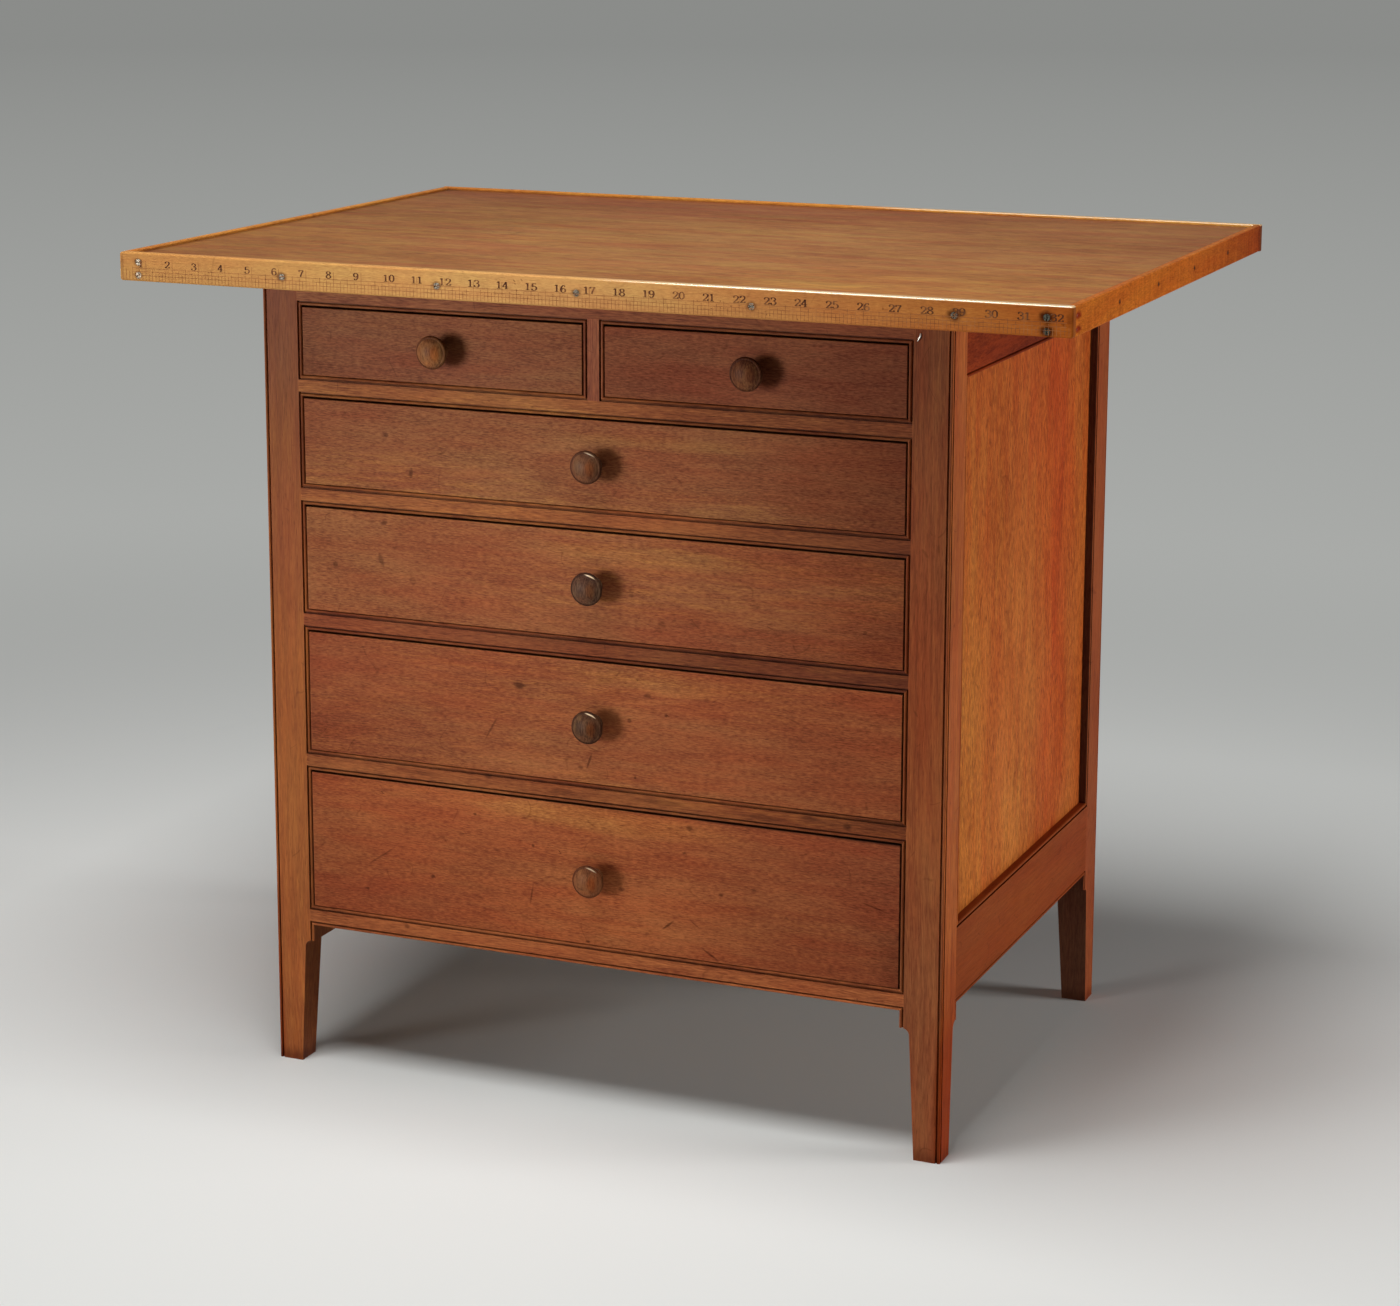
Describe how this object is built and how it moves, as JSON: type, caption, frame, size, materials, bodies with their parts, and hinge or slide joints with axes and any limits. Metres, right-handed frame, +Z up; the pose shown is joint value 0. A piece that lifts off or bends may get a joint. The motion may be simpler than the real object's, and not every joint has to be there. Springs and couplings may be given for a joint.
{
  "type": "sewing desk",
  "caption": "Wooden sewing desk on tapered legs: a chest of drawers with turned knobs under a wide overhanging tabletop, whose front rim is an inch ruler.",
  "frame": {"origin": "on the floor, under the middle of the tabletop", "axes": "+X along the ruler, to the right of someone at the drawers; the drawers face -Y; +Z up"},
  "size_m": [0.8256, 0.594, 0.709],
  "materials": {
    "tabletop": "worn satin, warm ochre brown",
    "ruler_wood": "worn satin, golden birch",
    "rim_wood": "worn satin, orange brown",
    "case_wood": "old oil finish, red-brown cherry",
    "drawer_wood": "old oil finish, red-brown cherry",
    "panel_wood": "old oil finish, orange-brown cherry",
    "inner_wood": "bare pine",
    "knob_wood": "worn satin, dark brown",
    "screw_steel": "worn, partly darkened",
    "nail_iron": "dark iron"
  },
  "bodies": {
    "desk": {"tabletop_board": "tabletop", "ruler_strip": "ruler_wood", "rim_left": "rim_wood", "rim_right": "rim_wood", "rim_back": "rim_wood", "ruler_screws": "screw_steel", "rim_nails": "nail_iron", "top_screws": "screw_steel", "post_front_left": "case_wood", "post_front_right": "case_wood", "post_back_left": "case_wood", "post_back_right": "case_wood", "front_rail_top": "case_wood", "drawer_rail_1": "case_wood", "drawer_rail_2": "case_wood", "drawer_rail_3": "case_wood", "drawer_rail_4": "case_wood", "front_rail_bottom": "case_wood", "drawer_divider": "case_wood", "side_rail_top_left": "case_wood", "side_rail_top_right": "case_wood", "side_rail_bottom_left": "case_wood", "side_rail_bottom_right": "case_wood", "back_rail_top": "case_wood", "back_rail_bottom": "case_wood", "side_panel_left": "panel_wood", "side_panel_right": "panel_wood", "back_panel": "panel_wood", "drawer_runners": "inner_wood", "drawer_kickers": "inner_wood"},
    "top_left_drawer": {"top_left_drawer_front": "drawer_wood", "top_left_drawer_knob": "knob_wood", "top_left_drawer_sides": "inner_wood", "top_left_drawer_back": "inner_wood", "top_left_drawer_bottom": "inner_wood"},
    "top_right_drawer": {"top_right_drawer_front": "drawer_wood", "top_right_drawer_knob": "knob_wood", "top_right_drawer_sides": "inner_wood", "top_right_drawer_back": "inner_wood", "top_right_drawer_bottom": "inner_wood"},
    "second_drawer": {"second_drawer_front": "drawer_wood", "second_drawer_knob": "knob_wood", "second_drawer_sides": "inner_wood", "second_drawer_back": "inner_wood", "second_drawer_bottom": "inner_wood"},
    "third_drawer": {"third_drawer_front": "drawer_wood", "third_drawer_knob": "knob_wood", "third_drawer_sides": "inner_wood", "third_drawer_back": "inner_wood", "third_drawer_bottom": "inner_wood"},
    "fourth_drawer": {"fourth_drawer_front": "drawer_wood", "fourth_drawer_knob": "knob_wood", "fourth_drawer_sides": "inner_wood", "fourth_drawer_back": "inner_wood", "fourth_drawer_bottom": "inner_wood"},
    "bottom_drawer": {"bottom_drawer_front": "drawer_wood", "bottom_drawer_knob": "knob_wood", "bottom_drawer_sides": "inner_wood", "bottom_drawer_back": "inner_wood", "bottom_drawer_bottom": "inner_wood"}
  },
  "joints": [
    {"name": "top_left_drawer_slide", "type": "slide", "parent": "desk", "child": "top_left_drawer", "axis": [0, -1, 0], "range_m": [0, 0.32]},
    {"name": "top_right_drawer_slide", "type": "slide", "parent": "desk", "child": "top_right_drawer", "axis": [0, -1, 0], "range_m": [0, 0.32]},
    {"name": "second_drawer_slide", "type": "slide", "parent": "desk", "child": "second_drawer", "axis": [0, -1, 0], "range_m": [0, 0.32]},
    {"name": "third_drawer_slide", "type": "slide", "parent": "desk", "child": "third_drawer", "axis": [0, -1, 0], "range_m": [0, 0.32]},
    {"name": "fourth_drawer_slide", "type": "slide", "parent": "desk", "child": "fourth_drawer", "axis": [0, -1, 0], "range_m": [0, 0.32]},
    {"name": "bottom_drawer_slide", "type": "slide", "parent": "desk", "child": "bottom_drawer", "axis": [0, -1, 0], "range_m": [0, 0.32]}
  ]
}
